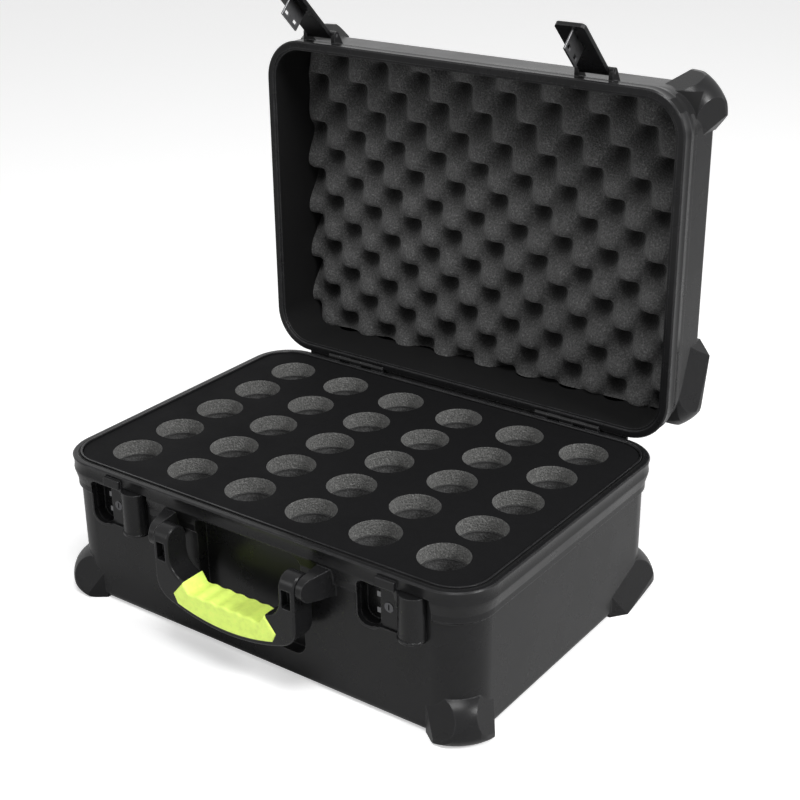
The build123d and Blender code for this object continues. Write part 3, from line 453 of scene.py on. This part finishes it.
def holed_sheet(bm, sizes, radius, z, low, high):
    """Flat sheet at height z with round holes in rows and columns and a rounded outline."""
    side = HOLE_POINTS // 4
    still = Matrix.Translation((0, 0, z))
    bmesh.ops.create_circle(bm, segments=HOLE_POINTS, radius=radius, matrix=still)
    square = bmesh.ops.create_grid(
        bm, x_segments=side, y_segments=side, size=0.5,
        matrix=still @ Matrix.Diagonal((sizes.pitch_x, sizes.pitch_y, 1, 1)))
    inner = {face for vert in square["verts"] for face in vert.link_faces}
    bmesh.ops.delete(bm, geom=list(inner), context="FACES_KEEP_BOUNDARY")
    bmesh.ops.bridge_loops(bm, edges=list(bm.edges))
    cell = list(bm.verts) + list(bm.edges) + list(bm.faces)
    middle = Vector(((sizes.columns - 1) / 2 * sizes.pitch_x, (sizes.rows - 1) / 2 * sizes.pitch_y, 0))
    for column in range(sizes.columns):
        for row in range(sizes.rows):
            if column or row:
                copy = bmesh.ops.duplicate(bm, geom=cell)["geom"]
                bmesh.ops.translate(
                    bm, verts=points_of(copy), vec=(column * sizes.pitch_x, row * sizes.pitch_y, 0))
    bmesh.ops.translate(bm, verts=bm.verts, vec=-middle)
    bmesh.ops.remove_doubles(bm, verts=bm.verts, dist=SAME_PLACE)
    reach = middle + Vector((sizes.pitch_x, sizes.pitch_y, 0)) / 2
    rim = [
        edge for edge in bm.edges if edge.is_boundary and all(
            abs(abs(vert.co.x) - reach.x) < SAME_PLACE or abs(abs(vert.co.y) - reach.y) < SAME_PLACE
            for vert in edge.verts)
    ]
    centre = Matrix.Translation(((low[0] + high[0]) / 2, (low[1] + high[1]) / 2, z))
    size = Matrix.Diagonal((high[0] - low[0], high[1] - low[1], 1, 1))
    corners = bmesh.ops.create_grid(
        bm, x_segments=1, y_segments=1, size=0.5, matrix=centre @ size)["verts"]
    bmesh.ops.bevel(
        bm, geom=corners, offset=sizes.corner, segments=12, profile=0.5, affect="VERTICES", material=-1,
        offset_type="OFFSET")
    plate = max(bm.faces, key=lambda face: len(face.verts))
    outline = list(plate.edges)
    bmesh.ops.delete(bm, geom=[plate], context="FACES_ONLY")
    bmesh.ops.triangle_fill(bm, edges=rim + outline, use_beauty=True)
    for face in bm.faces:
        if face.normal.z < 0:
            face.normal_flip()


def hole_loops(bm, sizes, radius):
    """Edges of the holes' rims."""
    reach = Vector(((sizes.columns - 1) / 2 * sizes.pitch_x, (sizes.rows - 1) / 2 * sizes.pitch_y))

    def on_hole(vert):
        across, along = vert.co.x + reach.x, vert.co.y + reach.y
        column, row = round(across / sizes.pitch_x), round(along / sizes.pitch_y)
        away = Vector((across - column * sizes.pitch_x, along - row * sizes.pitch_y))
        return abs(away.length - radius) < 10 * SAME_PLACE

    return [edge for edge in bm.edges if edge.is_boundary and all(on_hole(vert) for vert in edge.verts)]


def recess_cutter():
    """Block that clears the foam of the handle bay's lining and the two latch housings."""
    bm = bmesh.new()
    for low, high in (BAY_LINING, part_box("latch_housing_left"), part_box("latch_housing_right")):
        low = Vector(low) - Vector((CUT_ROOM, PAST_FRONT, CUT_ROOM))
        high = Vector(high) + Vector((CUT_ROOM, CUT_ROOM, CUT_ROOM))
        size = high - low
        bmesh.ops.create_cube(
            bm, size=1, matrix=Matrix.Translation((low + high) / 2) @ Matrix.Diagonal((*size, 1)))
    return to_object(bm, "recess_cutter", [])


def cut_recesses(piece):
    """Cut the front recesses out of a foam piece."""
    cutter = recess_cutter()
    cut = piece.modifiers.new("Recesses", "BOOLEAN")
    cut.operation = "DIFFERENCE"
    cut.solver = "EXACT"
    cut.object = cutter
    settle_modifiers(piece)
    bpy.data.objects.remove(cutter)


# ---------------------------------------------------------------- stage
def add_camera(stage):
    """Camera that looks at the deck from the front right."""
    turn = (
        Matrix.Rotation(stage.azimuth, 4, "Z")
        @ Matrix.Rotation(math.pi / 2 - stage.elevation, 4, "X")
        @ Matrix.Rotation(stage.roll, 4, "Z")
    )
    deck = Matrix.Translation((0, 0, DECK_HIGH[2]))
    step_back = Matrix.Translation((stage.aim_right, stage.aim_up, stage.distance))
    lens = bpy.data.cameras.new("Camera")
    lens.lens = stage.lens
    lens.sensor_width = SENSOR_WIDTH
    lens.shift_y = stage.shift
    camera = bpy.data.objects.new("Camera", lens)
    camera.matrix_world = deck @ turn @ step_back
    bpy.context.collection.objects.link(camera)
    bpy.context.scene.camera = camera


def add_floor(stage):
    """Floor that is white to the camera, pale to everything else and dimmer in the case's gloss as a painted
    reflection, and holds the case's shadow.
    """
    bm = bmesh.new()
    bmesh.ops.create_grid(bm, x_segments=1, y_segments=1, size=FLOOR_REACH)
    floor_paint, tree, shader = start_material("floor_paint")
    rays = place(tree, "LightPath")
    # painted reflection: the floor's colour is dimmed for glossy rays
    painted_reflection_dim = remap(tree, rays.outputs["Is Glossy Ray"], 0.0, 1.0, 1.0, stage.floor_painted_reflection)
    glow = remap(tree, rays.outputs["Is Camera Ray"], 0.0, 1.0, 0.0, stage.floor_lift)
    tree.links.new(shaded(tree, FLOOR_TINT, painted_reflection_dim), shader.inputs["Base Color"])
    tree.links.new(glow, shader.inputs["Emission Strength"])
    shader.inputs["Roughness"].default_value = 0.8
    shader.inputs["Emission Color"].default_value = WHITE
    to_object(bm, "floor", [floor_paint])


def add_lamps(stage):
    """Three softboxes, all turned to the middle of the case."""
    for name, place_at, size, power in (
        ("Side Softbox", (2.1, -0.1, 1.7), 0.6, stage.key),
        ("Top Softbox", (0.6, -0.8, 2.4), 0.8, stage.top),
        ("Front Fill", (-1.3, -2.4, 1.2), 0.9, stage.fill),
    ):
        lamp = bpy.data.lights.new(name, "AREA")
        lamp.size = size
        lamp.energy = power
        softbox = bpy.data.objects.new(name, lamp)
        facing = (Vector(LAMP_AIM) - Vector(place_at)).to_track_quat("-Z", "Y")
        softbox.matrix_world = Matrix.Translation(place_at) @ facing.to_matrix().to_4x4()
        bpy.context.collection.objects.link(softbox)


def add_surround(stage):
    """White room: a plain low light, and pure white to the camera, in gloss and through glass."""
    world = bpy.data.worlds.new("White Room")
    bpy.context.scene.world = world
    world.use_nodes = True
    tree = world.node_tree
    background = tree.nodes["Background"]
    rays = place(tree, "LightPath")
    seen = compute(tree, "MAXIMUM", rays.outputs["Is Camera Ray"], rays.outputs["Is Glossy Ray"])
    seen = compute(tree, "MAXIMUM", seen, rays.outputs["Is Transmission Ray"])
    background.inputs["Color"].default_value = WHITE
    tree.links.new(remap(tree, seen, 0.0, 1.0, stage.world, 1.0), background.inputs["Strength"])


# ---------------------------------------------------------------- operators
class MICCASE_OT_finishes(bpy.types.Operator):
    """Make the finishes and put them on the pieces that keep their shape"""

    bl_idname = "miccase.finishes"
    bl_label = "Finishes"

    def execute(self, context):
        tints = context.scene.miccase_finishes
        groups = {"grain": moulded_grain(), "cells": open_cells(), "edges": edge_wear_and_highlight()}
        lid_inside = (
            Vector(CRATE_LOW) - Vector((LID_WALL, LID_MOUTH, LID_WALL)),
            Vector(CRATE_HIGH) + Vector((LID_WALL, LID_WALL, LID_WALL)),
        )
        moulded_material(
            "shell_finish", groups, tints.shell, rough=0.28, sheen=0.20, wear_and_highlight=0.8, fineness=1100.0, bump=0.14,
            dim_box=lid_inside)
        moulded_material(
            "latch_finish", groups, tints.latch, rough=0.27, sheen=0.24, wear_and_highlight=0.8, fineness=1500.0, bump=0.10)
        moulded_material(
            "seal_finish", groups, tints.seal, rough=0.62, sheen=0.15, wear_and_highlight=0.2, fineness=1300.0, bump=0.15)
        # painted reflection: the grip shows dimmer in the shell's gloss
        moulded_material(
            "grip_finish", groups, tints.grip, rough=0.55, sheen=0.40, wear_and_highlight=0.05, fineness=900.0, bump=0.20,
            painted_reflection_dim=0.4)
        skin_material("deck_skin_finish", groups, tints.skin)
        foam_material("cut_foam_finish", groups, tints.cut_foam, fineness=600.0, bump=0.7)
        # painted shade: the block's top ledge is darkened so that it shows no lit edge in the holes
        foam_material(
            "deep_foam_painted_shade", groups, tints.deep_foam, fineness=600.0, bump=0.7,
            depth=("Z", *(BLOCK_HIGH[2] + step for step in LEDGE_PAINTED_SHADE)))
        # painted shade: the egg-crate foam darkens from the lobes' tops down into the pits
        foam_material(
            "crate_foam_painted_pit_shade", groups, tints.crate_foam, fineness=520.0, bump=0.8,
            depth=("Y", *(CRATE_LOW[1] + step for step in PIT_PAINTED_SHADE)))
        metal_material("steel_finish", groups, tints.steel, rough=0.36)
        metal_material("lock_finish", groups, tints.chrome, rough=0.32)
        finish_of = {
            "case_plastic": "shell_finish", "latch_plastic": "latch_finish", "seal_rubber": "seal_finish",
            "grip_rubber": "grip_finish", "deck_foam": "cut_foam_finish", "block_foam": "deep_foam_painted_shade",
            "lid_foam": "crate_foam_painted_pit_shade", "pin_steel": "steel_finish", "bolt_steel": "steel_finish",
            "lock_chrome": "lock_finish",
        }
        for part in frame["record"]["subparts"]:
            for slot in NODES[part["node"]].material_slots:
                slot.material = made(finish_of[part["material_slot"]])
        return {"FINISHED"}


class MICCASE_OT_deck_foam(bpy.types.Operator):
    """Make the foam deck with its thirty holes, skin on top and cut walls inside"""

    bl_idname = "miccase.deck_foam"
    bl_label = "Deck Foam"

    def execute(self, context):
        sizes = context.scene.miccase_foam
        bm = bmesh.new()
        top = DECK_HIGH[2]
        holed_sheet(bm, sizes, sizes.deck_hole, top, DECK_LOW, DECK_HIGH)
        sheet = bmesh.ops.extrude_face_region(bm, geom=list(bm.faces), use_keep_orig=True)["geom"]
        bmesh.ops.translate(bm, verts=points_of(sheet), vec=(0, 0, DECK_LOW[2] - top))
        bmesh.ops.recalc_face_normals(bm, faces=bm.faces)
        rims = [
            edge for edge in bm.edges
            if all(abs(vert.co.z - top) < SAME_PLACE for vert in edge.verts)
            and any(abs(face.normal.z) < 0.5 for face in edge.link_faces)
        ]
        bmesh.ops.bevel(
            bm, geom=rims, offset=sizes.hole_edge, segments=3, profile=0.5, affect="EDGES", material=-1)
        for face in bm.faces:
            face.material_index = 0 if face.normal.z > SKIN_TILT else 1
        piece = to_object(bm, "deck_foam_sheet", [made("deck_skin_finish"), made("cut_foam_finish")])
        cut_recesses(piece)
        even_shading(piece)
        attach(piece, "base")
        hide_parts("foam_deck")
        return {"FINISHED"}


class MICCASE_OT_block_foam(bpy.types.Operator):
    """Make the foam block under the deck with its thirty deep holes"""

    bl_idname = "miccase.block_foam"
    bl_label = "Block Foam"

    def execute(self, context):
        sizes = context.scene.miccase_foam
        bm = bmesh.new()
        top = BLOCK_HIGH[2]
        holed_sheet(bm, sizes, sizes.block_hole, top, BLOCK_LOW, BLOCK_HIGH)
        holes = hole_loops(bm, sizes, sizes.block_hole)
        outside = [edge for edge in bm.edges if edge.is_boundary and edge not in set(holes)]
        for loop, depth in ((holes, top - sizes.hole_floor), (outside, top - BLOCK_LOW[2])):
            walls = bmesh.ops.extrude_edge_only(bm, edges=loop)["geom"]
            bmesh.ops.translate(bm, verts=points_of(walls), vec=(0, 0, -depth))
            bmesh.ops.edgeloop_fill(bm, edges=open_edges(walls))
        piece = to_object(bm, "block_foam_body", [made("deep_foam_painted_shade")])
        cut_recesses(piece)
        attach(piece, "base")
        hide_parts("foam_block")
        return {"FINISHED"}


class MICCASE_OT_crate_foam(bpy.types.Operator):
    """Make the egg-crate foam sheet that lines the lid"""

    bl_idname = "miccase.crate_foam"
    bl_label = "Egg-Crate Foam"

    def execute(self, context):
        sizes = context.scene.miccase_foam
        bm = bmesh.new()
        back = CRATE_HIGH[1]
        thickness = back - CRATE_LOW[1]
        centre = Vector(((CRATE_LOW[0] + CRATE_HIGH[0]) / 2, back, (CRATE_LOW[2] + CRATE_HIGH[2]) / 2))
        size = Matrix.Diagonal((CRATE_HIGH[0] - CRATE_LOW[0], CRATE_HIGH[2] - CRATE_LOW[2], 1, 1))
        upright = Matrix.Rotation(math.radians(90), 4, "X")
        across, up = CRATE_MESH
        bmesh.ops.create_grid(
            bm, x_segments=across, y_segments=up, size=0.5,
            matrix=Matrix.Translation(centre) @ upright @ size)
        front = list(bm.verts)
        rim = [edge for edge in bm.edges if edge.is_boundary]
        skirt = bmesh.ops.extrude_edge_only(bm, edges=rim)["geom"]
        bmesh.ops.edgeloop_fill(bm, edges=open_edges(skirt))
        wave = 2 * math.pi / sizes.crate_pitch
        turn = Matrix.Rotation(-sizes.crate_turn, 2)
        pit = Vector(CRATE_PIT)
        for vert in front:
            along = turn @ (Vector((vert.co.x, vert.co.z)) - pit)
            rise = 0.5 - 0.5 * math.cos(wave * along.x) * math.cos(wave * along.y)
            rise = 1 - (1 - rise) ** sizes.crate_fullness
            rough = noise.noise(vert.co * ROUGH_SPREAD) * ROUGH_RISE
            height = (thickness - sizes.crate_base - CRATE_PROUD) * rise
            vert.co.y = back - sizes.crate_base - height + rough
            edge_room = min(vert.co.z - CRATE_LOW[2], CRATE_HIGH[2] - vert.co.z)
            vert.co.z -= min(sizes.crate_droop * rise, edge_room)
        piece = to_object(bm, "lid_crate_foam", [made("crate_foam_painted_pit_shade")], sharp_angle=60.0)
        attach(piece, "lid")
        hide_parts("lid_foam")
        return {"FINISHED"}


class MICCASE_OT_stage(bpy.types.Operator):
    """Make the floor, the lamps, the white surround and the camera"""

    bl_idname = "miccase.stage"
    bl_label = "Stage"

    def execute(self, context):
        stage = context.scene.miccase_stage
        add_camera(stage)
        add_floor(stage)
        add_lamps(stage)
        add_surround(stage)
        context.scene.view_settings.view_transform = "Standard"
        return {"FINISHED"}


class MICCASE_PT_panel(bpy.types.Panel):
    """Settings and steps of the microphone case"""

    bl_idname = "MICCASE_PT_panel"
    bl_label = "Microphone Case"
    bl_space_type = "VIEW_3D"
    bl_region_type = "UI"
    bl_category = "Mic Case"

    def draw(self, context):
        for settings in (
            context.scene.miccase_foam, context.scene.miccase_finishes, context.scene.miccase_stage,
        ):
            box = self.layout.box()
            for key in settings.bl_rna.properties.keys():
                if key not in ("rna_type", "name"):
                    box.prop(settings, key)
        for step in STEPS:
            self.layout.operator(step.bl_idname)


STEPS = (
    MICCASE_OT_finishes, MICCASE_OT_deck_foam, MICCASE_OT_block_foam, MICCASE_OT_crate_foam, MICCASE_OT_stage,
)
SETTINGS = {
    "miccase_foam": MICCASE_FoamSizes, "miccase_finishes": MICCASE_Finishes, "miccase_stage": MICCASE_Stage,
}


def register():
    for group in SETTINGS.values():
        bpy.utils.register_class(group)
    for name, group in SETTINGS.items():
        setattr(bpy.types.Scene, name, bpy.props.PointerProperty(type=group))
    for step in STEPS:
        bpy.utils.register_class(step)
    bpy.utils.register_class(MICCASE_PT_panel)


def unregister():
    bpy.utils.unregister_class(MICCASE_PT_panel)
    for step in reversed(STEPS):
        bpy.utils.unregister_class(step)
    for name in SETTINGS:
        delattr(bpy.types.Scene, name)
    for group in SETTINGS.values():
        bpy.utils.unregister_class(group)


def main():
    """Register the classes and run every step in order."""
    register()
    for step in STEPS:
        family, action = step.bl_idname.split(".")
        getattr(getattr(bpy.ops, family), action)()


if __name__ == "__main__":
    main()
